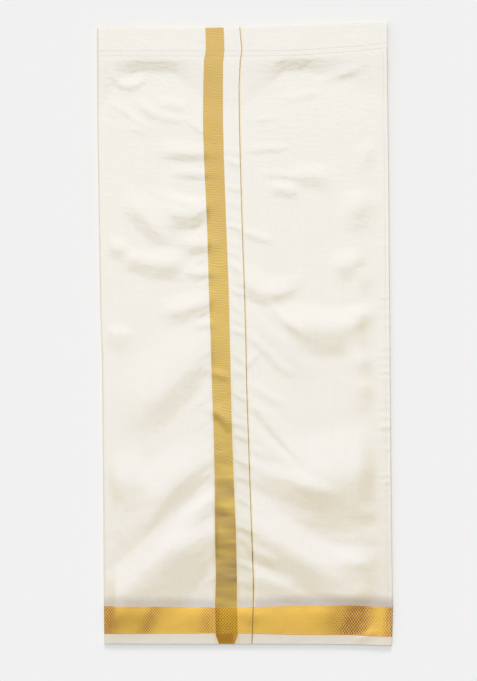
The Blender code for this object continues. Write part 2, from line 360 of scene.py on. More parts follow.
class DhotiSizes(PropertyGroup):
    """Sizes and colours of the cloth that a user may change."""

    thickness: FloatProperty(
        name="Cloth", description="Thickness of the silk", default=0.4 * MM, unit="LENGTH"
    )
    hem_width: FloatProperty(
        name="Side hem", description="Width of the turned side hem", default=8 * MM, unit="LENGTH"
    )
    band_width: FloatProperty(
        name="Gold band", description="Width of the upright gold band", default=33 * MM, unit="LENGTH"
    )
    line_place: FloatProperty(
        name="Gold line", description="From the band's left to the line", default=59.5 * MM, unit="LENGTH"
    )
    border_width: FloatProperty(
        name="Border", description="Width of the gold border at the foot", default=46 * MM, unit="LENGTH"
    )
    thread_pitch: FloatProperty(
        name="Threads", description="From one thread to the next", default=0.5 * MM, unit="LENGTH"
    )
    stitch_length: FloatProperty(
        name="Stitch", description="Length of a stitch of the sewing", default=2.6 * MM, unit="LENGTH"
    )
    silk_foot: FloatVectorProperty(
        name="Silk, foot", description="Silk near the border", default=(0.764, 0.682, 0.51), subtype="COLOR"
    )
    silk_waist: FloatVectorProperty(
        name="Silk, waist", description="Silk near the waist", default=(0.764, 0.678, 0.468), subtype="COLOR"
    )
    gold_band: FloatVectorProperty(
        name="Band gold", description="Upright band", default=(0.465, 0.30, 0.014), subtype="COLOR"
    )
    gold_border: FloatVectorProperty(
        name="Border gold", description="Border at the foot", default=(0.72, 0.44, 0.05), subtype="COLOR"
    )
    gold_dark: FloatVectorProperty(
        name="Dark gold", description="Between gold threads", default=(0.26, 0.075, 0.01), subtype="COLOR"
    )
    floor_tone: FloatProperty(
        name="Floor", description="How pale the floor is", default=0.805, subtype="FACTOR"
    )


# How the cloth lies


def smooth(t):
    """Rise softly from 0 at 0 to 1 at 1."""
    t = np.clip(t, 0, 1)
    return t * t * (3 - 2 * t)


def even_rise(t):
    """Rise from 0 at 0 to 1 at 1 at an even slope between two rounded ends."""
    first, last = np.clip(t, 0, 1), np.clip(t - 1 + ROUND, 0, ROUND)
    start = np.minimum(first, ROUND)
    return (start**2 / (2 * ROUND) + first - start - last**2 / (2 * ROUND)) / (1 - ROUND)


def row_value(at, rows, key, name):
    """A column of a table at each place, in metres."""
    places = [getattr(row, key) * MM for row in rows]
    return np.interp(at, places, [getattr(row, name) * MM for row in rows])


def side_x(y, side):
    """X of the left or right edge at height Y."""
    return row_value(y, SIDES, "y", side)


def waist_sides():
    """X of both sides of the waist."""
    return SIDES[-1].left * MM, SIDES[-1].right * MM


def end_y(x, end):
    """Y of the foot, the waist's stitching or its top fold at X."""
    return row_value(x, ENDS, "x", end)


def fold_height(fold, x, y, gathers):
    """What one fold adds at each place: its own fall on either side, and a fade to its tips."""
    run_x, run_y = fold.x3 - fold.x1, fold.y3 - fold.y1
    length = math.hypot(run_x, run_y)
    way_x, way_y = run_x / length, run_y / length

    def chord(at_x, at_y):
        off_x, off_y = at_x - fold.x1, at_y - fold.y1
        return (off_x * way_x + off_y * way_y) / length, off_y * way_x - off_x * way_y

    middle, bow = chord(fold.x2, fold.y2)
    along, across = chord(x / MM, y / MM)
    along = np.clip(along, 0, 1)
    away = across - bow * along * (1 - along) / (middle * (1 - middle))
    reach = np.where(away > 0, fold.above, fold.below) * gathers
    fade = smooth(along / TIP) * smooth((1 - along) / TIP)
    return fold.height * MM * gathers * fade * even_rise(1 - np.abs(away) / reach)


def pucker_height(row, at, sway):
    """Height of one pucker of a row."""
    return (row.height + row.uneven * sway) * (1 - row.lost * at / row.count)


def strip_folds():
    """Short slanting puckers of the strip between the gold band and the thin line."""
    for at in range(STRIP.count):
        sway = math.sin(at * 2.4)
        y = STRIP.start - STRIP.step * at + PUCKER_SHIFT * sway
        left = row_value(y * MM, WOVEN, "y", "right") / MM - STRIP_LAPS[0]
        right = row_value(y * MM, WOVEN, "y", "line") / MM + STRIP_LAPS[1] + STRIP_RAGGED * sway
        drop = np.interp(at, (0, STRIP_STEEPENING), STRIP_DROPS) + STRIP_DROP_UNEVEN * math.sin(at * 1.7)
        middle = (left + right) / 2
        height = pucker_height(STRIP, at, sway)
        yield Fold(left, y + drop, middle, y + STRIP_BOW, right, y - drop, STRIP.above, STRIP.below, height)


def fan_folds():
    """Fine puckers that run from the gold band's left side outwards and down."""
    for at in range(FAN.count):
        y = FAN.start - FAN.step * at + PUCKER_SHIFT * math.sin(at * 1.9)
        right = row_value(y * MM, WOVEN, "y", "left") / MM + FAN_LAP
        length = FAN_LENGTH + FAN_LENGTH_UNEVEN * math.sin(at * 2.9)
        middle, outer = (y - drop * length for drop in FAN_DROPS)
        height = pucker_height(FAN, at, math.sin(at * 4.1))
        yield Fold(right - length, outer, right - length / 2, middle, right, y, FAN.above, FAN.below, height)


def gathering(x, y):
    """How wide folds are at each place, against their width far from the gold band."""
    middle = (row_value(y, WOVEN, "y", "left") + row_value(y, WOVEN, "y", "right")) / 2
    return GATHER + (1 - GATHER) * smooth(np.abs(x - middle) / GATHER_DEPTH)


def front_folds(x, y):
    """All folds of the outer wrap together, weaker where the stiff band crosses them."""
    gathers = gathering(x, y)
    wide = sum(fold_height(fold, x, y, gathers) for fold in LEFT_FOLDS + RIGHT_FOLDS)
    small = (*BORDER_FOLDS, *BAND_FOLDS, *strip_folds(), *fan_folds())
    left, right = (row_value(y, WOVEN, "y", side) for side in ("left", "right"))
    on_band = smooth((x - left) / BAND_SIDE) * smooth((right - x) / BAND_SIDE)
    return wide * (1 - (1 - BAND_CALM) * on_band) + sum(fold_height(fold, x, y, 1) for fold in small)


def swung(swing, along):
    """What a swing adds at each place along the hem."""
    return swing.share * np.sin(along * swing.turn + swing.start)


def hem_puckers(x, y):
    """The small waves along the hem's stitching, uneven in depth."""
    stitch, foot = end_y(x, "stitch"), end_y(x, "foot")
    down = (stitch - y) / (stitch - foot)
    along = np.clip((down - HEM_PUCKER_START) / (HEM_PUCKER_STOP - HEM_PUCKER_START), 0, 1)
    uneven = HEM_PUCKER_MEAN + swung(HEM_PUCKER_SLOW, along) + swung(HEM_PUCKER_QUICK, along)
    inward = (side_x(y, "right") - bpy.context.scene.dhoti.hem_width - x) / HEM_PUCKER_REACH
    wave = np.sin(math.pi * HEM_PUCKERS * along + swung(HEM_PUCKER_SHIFT, along)) ** 2
    return HEM_PUCKER_HEIGHT * uneven * wave * smooth(4 * along * (1 - along)) * np.exp(-(inward**2))


def under_level(x, y):
    """Middle of the under wrap, which comes down from its casing."""
    fallen = smooth((end_y(x, "stitch") - y) / WAIST_FALL)
    return UNDER_WAIST_LEVEL + (UNDER_LEVEL - UNDER_WAIST_LEVEL) * fallen


def seam_dip(distance):
    """How far cloth sinks beside a row of stitching."""
    return SEAM_DIP * np.exp(-((distance / SEAM_REACH) ** 2))


def front_level(x, y):
    """Middle of the outer wrap: it lies on the under wrap and stands up in its folds."""
    below = end_y(x, "stitch") - y
    fallen = even_rise(below / row_value(x, FALLS, "x", "depth"))
    settled = smooth(below / SETTLE)
    rolled = 1 - smooth((x - side_x(y, "left")) / LEFT_ROLL_DEPTH)
    seam = side_x(y, "right") - bpy.context.scene.dhoti.hem_width
    climbed = 1 - smooth((seam - x) / HEM_CLIMB)
    calm = FOOT_SHARE + (1 - FOOT_SHARE) * smooth((y - end_y(x, "foot")) / FOOT_CALM)
    tied = smooth(below / TIED)
    lowest = UNDER_LEVEL + STEP + (FRONT_WAIST_LEVEL - UNDER_LEVEL - STEP) * (1 - fallen)
    lowest = np.maximum(lowest, under_level(x, y) + STEP) + STEP * climbed * fallen
    raised = (LOFT * settled + front_folds(x, y) * tied) * (1 - rolled) * (1 - climbed)
    raised = (raised + LEFT_ROLL * rolled * settled) * calm + hem_puckers(x, y)
    raised = (raised + np.sqrt(raised**2 + SOFT_LANDING**2)) / 2
    return lowest + raised - seam_dip(below)


def woven_place(x, y):
    """The map "cloth": across from the band's left side, and up from the border's foot."""
    sizes = bpy.context.scene.dhoti
    left, right, line = (row_value(y, WOVEN, "y", name) for name in ("left", "right", "line"))
    low, high = (row_value(x, BORDERS, "x", name) for name in ("low", "high"))
    on_band = sizes.band_width * (x - left) / (right - left)
    strip = sizes.line_place - sizes.band_width
    on_strip = sizes.band_width + strip * (x - right) / (line - right)
    across = np.where(x < left, x - left, np.where(x < right, on_band, on_strip))
    across = np.where(x < line, across, sizes.line_place + x - line)
    on_border = sizes.border_width * (y - low) / (high - low)
    up = np.where(y < low, y - low, np.where(y < high, on_border, sizes.border_width + y - high))
    return across, up


# Making pieces


def shares(t, steps):
    """How far along each stretch of steps t is, from 0 to 1, as t runs over all of them."""
    at = np.round(t * sum(steps))
    starts = np.cumsum((0, *steps))
    return [np.clip((at - start) / count, 0, 1) for start, count in zip(starts, steps)]


def hairpin(t, ply_steps, fold_steps):
    """A ply that is folded back under itself.

    It gives the share of the way from the fold to the seam, the bulge past the fold, the depth below
    the outer ply, and how far along the inner ply it is.
    """
    out, turn, back = shares(t, (ply_steps, fold_steps, ply_steps))
    bulge = np.sin(math.pi * turn) * STEP / 2
    return (1 - out) + back, bulge, (1 - np.cos(math.pi * turn)) * STEP / 2, back


def panel_y(x, v, lift=0.0):
    """Y of a share of the height at X, from a foot that is lifted to the waist's stitching."""
    foot = end_y(x, "foot") + lift
    return foot + (end_y(x, "stitch") - foot) * v


def nominal_y(v):
    """Y of a share of the height at mid-width."""
    return panel_y(0, v)


def back_turn(v):
    """The right edge of the stretch on the surface, and the radius of its turn up to the under wrap."""
    right = side_x(nominal_y(v), "right") - SIDE_INSET - WALL / 2
    return right, (under_level(right, panel_y(right, v)) - BACK_LEVEL) / 2


def deselect():
    """Leave nothing selected."""
    bpy.ops.object.select_all(action="DESELECT")


def show_only(piece):
    """Make a piece the only one selected, and the active one."""
    deselect()
    piece.select_set(True)
    bpy.context.view_layer.objects.active = piece


def cloth(name, node, columns, rows, place):
    """A thin shell on a grid: place gives the middle of the cloth and its place laid out flat."""
    shape = bmesh.new()
    bmesh.ops.create_grid(shape, x_segments=columns, y_segments=rows, size=0.5)
    grid = np.array([vert.co[:] for vert in shape.verts]) + 0.5
    x, y, z, flat_x, flat_y = place(grid[:, 0], grid[:, 1])
    for vert, spot in zip(shape.verts, np.stack((x, y, z), axis=-1)):
        vert.co = spot
    woven = np.stack(woven_place(flat_x, flat_y), axis=-1)
    shape.verts.index_update()
    layer = shape.loops.layers.uv.new("cloth")
    for face in shape.faces:
        for loop in face.loops:
            loop[layer].uv = woven[loop.vert.index]
    mesh = bpy.data.meshes.new(name)
    shape.to_mesh(mesh)
    shape.free()
    piece = bpy.data.objects.new(name, mesh)
    bpy.context.collection.objects.link(piece)
    show_only(piece)
    wall = piece.modifiers.new("Wall", "SOLIDIFY")
    wall.thickness = bpy.context.scene.dhoti.thickness
    wall.offset = 0
    wall.use_even_offset = True
    bpy.ops.object.modifier_apply(modifier=wall.name)
    bpy.ops.object.shade_smooth_by_angle(angle=SMOOTH_ANGLE)
    mesh.materials.append(silk_finish())
    return dress(piece, node)


def dress(piece, *nodes):
    """Let a piece ride on the garment in place of its solids."""
    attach(piece, "root")
    if nodes:
        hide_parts(*nodes)
    return piece


# Finishes


class Wire:
    """The output of a node, with the sums that a finish needs."""

    def __init__(self, finish, socket):
        self.finish = finish
        self.socket = socket

    def sum(self, operation, *values):
        """A Math node on some values."""
        return self.finish.node("ShaderNodeMath", {"operation": operation}, dict(enumerate(values)))

    def __add__(self, other):
        return self.sum("ADD", self, other)

    def __sub__(self, other):
        return self.sum("SUBTRACT", self, other)

    def __rsub__(self, other):
        return self.sum("SUBTRACT", other, self)

    def __mul__(self, other):
        return self.sum("MULTIPLY", self, other)

    def __truediv__(self, other):
        return self.sum("DIVIDE", self, other)

    __radd__ = __add__
    __rmul__ = __mul__

    def wave(self, pitch):
        """A cosine along this value, from -1 to 1."""
        return self.sum("COSINE", self * (2 * math.pi / pitch))

    def at_least(self, low):
        """This value, or low where it is less."""
        return self.sum("MAXIMUM", self, low)

    def past(self, edge, soft):
        """From 0 below an edge to 1 above it, over a soft strip on both sides."""
        values = {"Value": self - edge, "From Min": -soft, "From Max": soft}
        return self.finish.node("ShaderNodeMapRange", {"interpolation_type": "SMOOTHSTEP"}, values)

    def between(self, low, high, soft):
        """1 between two edges and 0 outside them."""
        return self.past(low, soft) * (1 - self.past(high, soft))


class Finish:
    """A new material, and the nodes that are added to it."""

    def __init__(self, name):
        self.material = bpy.data.materials.new(name)
        self.material.use_nodes = True
        self.nodes = self.material.node_tree.nodes
        self.links = self.material.node_tree.links
        self.shader = self.nodes["Principled BSDF"]

    def node(self, kind, settings=None, values=None, out=0):
        """Add a node: first its settings, then the values or links of its sockets."""
        made = self.nodes.new(kind)
        for name, value in (settings or {}).items():
            setattr(made, name, value)
        for name, value in (values or {}).items():
            self.join(made.inputs[name], value)
        return Wire(self, made.outputs[out])

    def join(self, socket, value):
        """Link a wire to a socket, or set the socket's own value."""
        if isinstance(value, Wire):
            self.links.new(value.socket, socket)
        elif isinstance(value, (tuple, list)) and socket.type == "RGBA":
            socket.default_value = (*value[:3], 1)
        else:
            socket.default_value = value

    def shade(self, **values):
        """Set or link the shader's sockets."""
        for name, value in values.items():
            self.join(self.shader.inputs[name.replace("_", " ")], value)

    def part(self, vector, axis):
        """One of a vector's three numbers."""
        return self.node("ShaderNodeSeparateXYZ", None, {"Vector": vector}, axis)

    def mix(self, share, low, high):
        """Mix two colours."""
        colours = {MIX_SHARE: share, MIX_LOW: low, MIX_HIGH: high}
        return self.node("ShaderNodeMix", {"data_type": "RGBA"}, colours, MIX_RESULT)

    def bump(self, height, relief, normal=None):
        """Raise a finish by a height from 0 to 1 over a relief's distance."""
        values = {"Height": height, "Distance": relief.distance, "Strength": relief.strength}
        if normal:
            values["Normal"] = normal
        return self.node("ShaderNodeBump", None, values)


# The sockets of a Mix node that belong to colours
MIX_SHARE = 0
MIX_LOW = 6
MIX_HIGH = 7
MIX_RESULT = 2

# How high a pattern stands, and how strongly it shows
Relief = namedtuple("Relief", "distance strength")
CRUMPLE_RELIEF = Relief(0.3 * MM, 0.6)
CREASE_RELIEF = Relief(0.33 * MM, 0.9)
FIGURE_RELIEF = Relief(0.12 * MM, 0.6)
WEAVE_RELIEF = Relief(0.03 * MM, 0.35)
TWIST_RELIEF = Relief(0.08 * MM, 0.6)

# Uneven patterns in the silk: how large they are across and up, in millimetres, and how detailed
Cloud = namedtuple("Cloud", "across up detail")
WARP = Cloud(1.6, 90, 2)
WEFT = Cloud(70, 1.4, 2)
CLOUDING = Cloud(45, 30, 3)
# breaks up the border's painted shade
BORDER_SHADE_BREAKUP = Cloud(9, 14, 2)
RIB_WANDER = Cloud(34, 24, 2)
# patches of painted sheen and painted shade on the band
BAND_SHEEN_PATCH = Cloud(60, 16, 1)
CRUMPLE = Cloud(20, 20, 2)
CREASES = Cloud(12, 6, 2)

# Colours laid over another, and the share that they take where they are whole
Tint = namedtuple("Tint", "share colour")
BAND_GLOW = Tint(0.65, (0.70, 0.54, 0.24))
STRIP_GLOW = Tint(0.32, (0.62, 0.525, 0.24))
SELVEDGE = Tint(0.16, (0.45, 0.36, 0.24))
# painted shade on the border's gold
SHADED_GOLD = Tint(0.16, (0.50, 0.22, 0.02))
EDGING = Tint(0.5, (0.60, 0.24, 0.07))
ABOVE_BORDER_SHADE = (0.34, 0.26, 0.17)  # painted shade on the silk just above the border
# the band's gold where painted sheen lies on it
BAND_SHEEN_GOLD = (0.62, 0.43, 0.035)
RIB_BROWN = (0.15, 0.07, 0.004)
CROSSING_BROWN = (0.20, 0.075, 0.004)
TIP_BROWN = (0.27, 0.13, 0.006)
LINE_GOLD = (0.24, 0.165, 0.035)
GLINT_GOLD = (0.76, 0.60, 0.26)
MIRROR_TINT = (0.47, 0.62, 1.0)
THREAD_DARK = (0.50, 0.46, 0.38)
THREAD_PALE = (0.68, 0.64, 0.56)
SILK_IOR = 2.10

# The band's end narrows below the border, and changes colour
NARROW_START = 3 * MM
NARROWING = 0.32
TIP_START = -1 * MM
THREAD_EDGE = 0.25 * MM  # a woven stripe ends softly over this much to either side
# The thin line is dark at its own place, and glints to the right of it
LINE_LEFT = 1.1 * MM
LINE_RIGHT = 0.7 * MM
GLINT_RIGHT = 2.6 * MM
# Heights on the cloth
WAIST_COLOUR_FROM = 0.62
ABOVE_BORDER_SHADE_REACH = 14 * MM  # painted shade reaches this far above the border's top
GLOW_TOP = 0.45  # gold glows on the silk beside it up to here
LOW_TOP = 0.30  # below this the band's ribs slant and grow darker
# the band's metal has painted sheen between these heights
SHEEN_FROM = 0.24
SHEEN_TO = 0.66
CREASED_FROM = 0.66
# Pitches of the woven patterns
LOZENGE_WIDE = 4.55 * MM
LOZENGE_HIGH = 6.0 * MM
RIB_PITCH = 3.5 * MM
UPRIGHT_PITCH = 2.2 * MM
TWIST_PITCH = 0.5 * MM


class Silk(Finish):
    """Cream art silk with its gold band, thin line and border woven in."""

    def __init__(self, name):
        super().__init__(name)
        self.sizes = bpy.context.scene.dhoti
        woven = self.node("ShaderNodeUVMap", {"uv_map": "cloth"})
        self.across, self.up = self.part(woven, "X"), self.part(woven, "Y")
        narrowed = ((0 - self.up) - NARROW_START).at_least(0) * NARROWING
        right = self.across.past(self.sizes.band_width - narrowed, THREAD_EDGE)
        self.band = self.across.past(narrowed, THREAD_EDGE) * (1 - right)
        line = self.sizes.line_place
        self.line = self.across.between(line - LINE_LEFT, line + LINE_RIGHT, THREAD_EDGE)
        self.glint = self.across.between(line + LINE_RIGHT, line + GLINT_RIGHT, 0.4 * MM)
        self.border = self.up.between(0, self.sizes.border_width, 0.3 * MM)
        self.gold = self.border + self.band - self.border * self.band
        self.low = 1 - self.up.past(LOW_TOP, 0.16)
        self.tip = 1 - self.up.past(TIP_START, 1.5 * MM)
        self.cloud = self.noise(CLOUDING)
        self.lattice()
        self.ribs()

    def noise(self, cloud, slant=0):
        """A cloudy pattern from 0 to 1, which may slant."""
        across = self.across + self.up * slant if slant else self.across
        place = {"X": across / (cloud.across * MM), "Y": self.up / (cloud.up * MM)}
        spot = self.node("ShaderNodeCombineXYZ", None, place)
        values = {"Vector": spot, "Scale": 1.0, "Detail": cloud.detail, "Roughness": 0.5}
        return self.node("ShaderNodeTexNoise", {"noise_dimensions": "2D"}, values)

    def tinted(self, colour, mask, tint):
        """A colour with a tint laid over it in one place."""
        return self.mix(mask * tint.share, colour, tint.colour)

    def lattice(self):
        """Dark lozenges in the border, a woven lattice, made larger where painted shade lies on its metal
        thread.
        """
        lozenge = self.across.wave(LOZENGE_WIDE) * self.up.wave(LOZENGE_HIGH)
        # painted shade in stretches of the border, broken up by a cloudy pattern
        shade_breakup = 0.65 + 0.7 * self.noise(BORDER_SHADE_BREAKUP)
        self.shaded = sum(self.shading(shade) for shade in SHADES) * shade_breakup
        self.dark = (lozenge + self.shaded * 0.4).past(0.45, 0.30)

    def shading(self, shade):
        """How much painted shade one stretch lays on the border."""
        lean = shade.lean * MM / self.sizes.border_width
        left, right = (shade.at - shade.half) * MM, (shade.at + shade.half) * MM
        return (self.across - self.up * lean).between(left, right, 11 * MM) * shade.depth

    def ribs(self):
        """Wavy ribs in the band, which slant towards the foot."""
        slant = self.across * (0.1 + self.low * 0.6)
        self.rib = (self.up + slant + self.noise(RIB_WANDER) * 9 * MM).wave(RIB_PITCH) * 0.5 + 0.5

    def ground(self):
        """Cream silk, which changes a little from foot to waist, with uneven threads both ways."""
        values = {"Value": self.up, "From Min": 0.0, "From Max": WAIST_COLOUR_FROM}
        height = self.node("ShaderNodeMapRange", None, values)
        cream = self.mix(height, tuple(self.sizes.silk_foot), tuple(self.sizes.silk_waist))
        uneven = 0.925 + self.noise(WARP) * 0.06 + self.noise(WEFT) * 0.045 + self.cloud * 0.045
        return self.node("ShaderNodeVectorMath", {"operation": "SCALE"}, {0: cream, "Scale": uneven})

    def plain(self):
        """The plain silk, with painted shade just above the border and the gold's glow painted on the silk
        beside it.
        """
        sizes, across, up = self.sizes, self.across, self.up
        # painted shade on the silk just above the border, a little stronger to the right
        fade = 1 - up.past(sizes.border_width + ABOVE_BORDER_SHADE_REACH, 9 * MM)
        above_border_shade = up.past(sizes.border_width - 2 * MM, 2 * MM) * fade
        silk = self.mix(above_border_shade * (0.48 + across * 0.5), self.ground(), ABOVE_BORDER_SHADE)
        glowing = 1 - up.past(GLOW_TOP, 0.20)
        at_band = across.between(-3 * MM, sizes.band_width + 3 * MM, 4 * MM) * glowing
        on_strip = across.between(sizes.band_width, sizes.line_place, 3 * MM) * glowing
        silk = self.tinted(self.tinted(silk, at_band, BAND_GLOW), on_strip, STRIP_GLOW)
        return self.tinted(silk, 1 - up.past(0, 2 * MM), SELVEDGE)

    def border_gold(self):
        """The border's metal thread, with the lattice, painted shade in stretches and a coppery edging."""
        top = self.sizes.border_width - 1.2 * MM
        # painted shade darkens the gold, and the lattice grows darker in it
        gold = self.tinted(tuple(self.sizes.gold_border), self.shaded, SHADED_GOLD)
        gold = self.mix(self.dark * (0.20 + self.shaded * 0.75), gold, tuple(self.sizes.gold_dark))
        edging = self.up.between(-0.5 * MM, 1.0 * MM, 0.4 * MM) + self.up.past(top, 0.4 * MM)
        return self.tinted(gold, edging, EDGING)

    def band_gold(self):
        """The band's metal thread, darker in its ribs, with painted sheen at mid-height and patches of
        painted sheen and painted shade towards the foot.
        """
        # patches of painted sheen and painted shade towards the foot
        sheen_patch = self.noise(BAND_SHEEN_PATCH)
        upright = self.across.wave(UPRIGHT_PITCH) * 0.5 + 0.5
        # painted sheen at mid-height, and in patches lower down
        sheen = self.up.between(SHEEN_FROM, SHEEN_TO, 0.10) * 0.35
        sheen = sheen + self.low * sheen_patch.past(0.58, 0.06) * 0.4
        brown = self.rib * (0.34 + self.low * 0.06) + upright * 0.12 + self.low * (sheen_patch * 1.6 - 0.75)
        return self.mix(brown, self.mix(sheen, tuple(self.sizes.gold_band), BAND_SHEEN_GOLD), RIB_BROWN)

    def crossing_gold(self):
        """The band where it lies over the border, and its end below it."""
        left_third = 1 - self.across.past(6 * MM, 5 * MM)
        brown = 0.55 * self.dark + self.rib * 0.15 + left_third * 0.15 + 0.33
        rim = self.across.past(self.sizes.band_width - 7 * MM, 2 * MM) * 0.6
        gold = self.mix(brown, tuple(self.sizes.gold_border), CROSSING_BROWN)
        return self.mix(self.tip * (0.8 - rim), gold, TIP_BROWN)

    def colour(self):
        """Each woven colour in its place."""
        crossed = self.band * self.up.between(-1.0, self.sizes.border_width, 0.5 * MM)
        colour = self.mix(self.border, self.plain(), self.border_gold())
        colour = self.mix(self.band, colour, self.band_gold())
        colour = self.mix(crossed, colour, self.crossing_gold())
        colour = self.mix(self.line * (1 - self.band), colour, LINE_GOLD)
        return self.mix(self.glint * (1 - self.band) * (1 - self.border), colour, GLINT_GOLD)

    def metal(self):
        """How much of the thread is metal."""
        in_border = self.border * (0.65 + self.band * 0.3)
        return in_border + (1 - self.border) * (self.band * (0.5 + self.tip * 0.4) + self.line * 0.5)

    def relief(self):
        """Plain weave, ribs and lattice over a fine crumple, and creases in the plain silk at the waist."""
        pitch = self.sizes.thread_pitch
        weave = self.across.wave(pitch) * self.up.wave(pitch) * 0.5 + 0.5
        creased = (0.16 + 0.84 * self.up.past(CREASED_FROM, 0.22)) * (1 - self.gold * 0.7)
        figure = (1 - self.dark) * self.border + (1 - self.rib) * self.band * 0.5
        relief = self.bump(self.noise(CRUMPLE), CRUMPLE_RELIEF)
        relief = self.bump(self.noise(CREASES, 0.3) * creased, CREASE_RELIEF, relief)
        relief = self.bump(figure, FIGURE_RELIEF, relief)
        return self.bump(weave, WEAVE_RELIEF, relief)


def silk_finish():
    """The silk that all the cloth is cut from."""
    known = bpy.data.materials.get("woven_silk")
    if known:
        return known
    silk = Silk("woven_silk")
    silk.shade(
        Base_Color=silk.colour(),
        Roughness=0.20 + silk.cloud * 0.05 + silk.gold * 0.13,
        Metallic=silk.metal(),
        IOR=SILK_IOR,
        Specular_Tint=MIRROR_TINT,
        Normal=silk.relief(),
    )
    return silk.material


def thread_finish():
    """Cream sewing thread, twisted."""
    known = bpy.data.materials.get("sewing_thread")
    if known:
        return known
    thread = Finish("sewing_thread")
    spot = thread.node("ShaderNodeTexCoord", None, None, "Object")
    twist = (thread.part(spot, "X") + thread.part(spot, "Y")).wave(TWIST_PITCH) * 0.5 + 0.5
    thread.shade(
        Base_Color=thread.mix(twist, THREAD_DARK, THREAD_PALE),
        Roughness=0.4 + twist * 0.1,
        Normal=thread.bump(twist, TWIST_RELIEF),
    )
    return thread.material


def floor_finish():
    """Pale matte paper."""
    floor = Finish("floor")
    spot = floor.node("ShaderNodeTexCoord", None, None, "Object")
    grain = floor.node("ShaderNodeTexNoise", None, {"Vector": spot, "Scale": 60.0, "Detail": 2.0})
    tone = bpy.context.scene.dhoti.floor_tone
    pale = (tone, tone, tone)
    dim = (tone * 0.995, tone * 0.995, tone * 0.99)
    floor.shade(Base_Color=floor.mix(grain, dim, pale), Roughness=0.9 + grain * 0.05)
    floor.shade(Specular_IOR_Level=0.0)
    return floor.material


# Operators, one for each piece or group of like pieces


class DHOTI_OT_stage(Operator):
    """Make the floor, the soft light and the camera"""

    bl_idname = "dhoti.stage"
    bl_label = "Stage"

    CAMERA = (-10.7 * MM, -11.3 * MM, 2.657)
    LENS = 85.0
    SENSOR = 36.0
    FLOOR_SIZE = 24.0
    SKY = 0.28
    # How far each light leans towards the waist and towards the right, in degrees, how softly it shines,
    # and whether the silk mirrors it
    LIGHTS = table(
        namedtuple("Light", "name power up right softness mirrored"),
        ("key", 1.75, 17, -3, 54, True),
        ("low", 1.7, 68, 0, 16, False),
        ("side", 0.5, 0, -60, 60, True),
    )

    def execute(self, context):
        deselect()
        bpy.ops.mesh.primitive_plane_add(size=self.FLOOR_SIZE)
        floor = context.object
        floor.name = "floor"
        floor.data.materials.append(floor_finish())

        for light in self.LIGHTS:
            self.shine(light)

        world = bpy.data.worlds.new("studio")
        world.use_nodes = True
        world.node_tree.nodes["Background"].inputs["Color"].default_value = (1, 1, 1, 1)
        world.node_tree.nodes["Background"].inputs["Strength"].default_value = self.SKY
        context.scene.world = world
        context.scene.view_settings.view_transform = "Standard"

        bpy.ops.object.camera_add(location=self.CAMERA, rotation=(0, 0, 0))
        camera = context.object
        camera.name = "camera"
        camera.data.lens = self.LENS
        camera.data.sensor_width = self.SENSOR
        context.scene.camera = camera
        return {"FINISHED"}

    def shine(self, light):
        """A large soft light, far off, that leans from straight above."""
        lean = (math.radians(-light.up), math.radians(light.right), 0)
        bpy.ops.object.light_add(type="SUN", rotation=lean)
        lamp = bpy.context.object
        lamp.name = light.name
        lamp.data.energy = light.power
        lamp.data.angle = math.radians(light.softness)
        lamp.visible_glossy = light.mirrored


class DHOTI_OT_back(Operator):
    """Make the stretch on the surface, with its turn up at the right"""

    bl_idname = "dhoti.back"
    bl_label = "Back stretch"

    def execute(self, context):
        def place(u, v):
            over, turn = shares(u, (PANEL_COLUMNS, TURN_STEPS))
            fold = side_x(nominal_y(v), "left") + WALL / 2
            left = fold + (front_level(fold, panel_y(fold, v)) - BACK_LEVEL) / 2
            right, radius = back_turn(v)
            angle = math.pi * turn
            x = left + (right - radius - left) * over + radius * np.sin(angle)
            y = panel_y(x, v, BACK_LIFT)
            lift = sum(fold_height(fold_row, x, y, 1) for fold_row in BACK_FOLDS)
            z = BACK_LEVEL + radius * (1 - np.cos(angle)) + lift * (turn == 0)
            return x, y, z, 2 * fold - x - math.pi * radius * turn, y

        cloth("back_stretch", "back_panel", PANEL_COLUMNS + TURN_STEPS, PANEL_ROWS, place)
        return {"FINISHED"}


class DHOTI_OT_under(Operator):
    """Make the end of the length, between front and back"""

    bl_idname = "dhoti.under"
    bl_label = "Under wrap"

    def execute(self, context):
        def place(u, v):
            right, radius = back_turn(v)
            start = side_x(nominal_y(v), "left") + UNDER_SHORT
            x = start + (right - radius - start) * u
            y = panel_y(x, v, UNDER_LIFT)
            return x, y, under_level(x, y), x - 2 * (right - start), y

        cloth("under_stretch", "under_wrap", PANEL_COLUMNS, PANEL_ROWS, place)
        return {"FINISHED"}


class DHOTI_OT_front(Operator):
    """Make the front stretch, from the soft fold at the left to the hem's stitching"""

    bl_idname = "dhoti.front"
    bl_label = "Front stretch"

    def execute(self, context):
        hem_width = context.scene.dhoti.hem_width

        def place(u, v):
            turn, over = shares(u, (TURN_STEPS, FRONT_COLUMNS))
            left = side_x(nominal_y(v), "left") + WALL / 2
            right = side_x(nominal_y(v), "right") - hem_width
            radius = (front_level(left, panel_y(left, v)) - BACK_LEVEL) / 2
            angle = math.pi * turn
            x = left + radius - radius * np.sin(angle) + (right - left - radius) * over
            y = panel_y(x, v)
            z = BACK_LEVEL + radius * (1 - np.cos(angle))
            z = np.where(over > 0, front_level(x, y) - seam_dip(right - x), z)
            return x, y, z, np.where(over > 0, x, left - math.pi * radius * (1 - turn)), y

        cloth("front_stretch", "outer_wrap", TURN_STEPS + FRONT_COLUMNS, FRONT_ROWS, place)
        return {"FINISHED"}


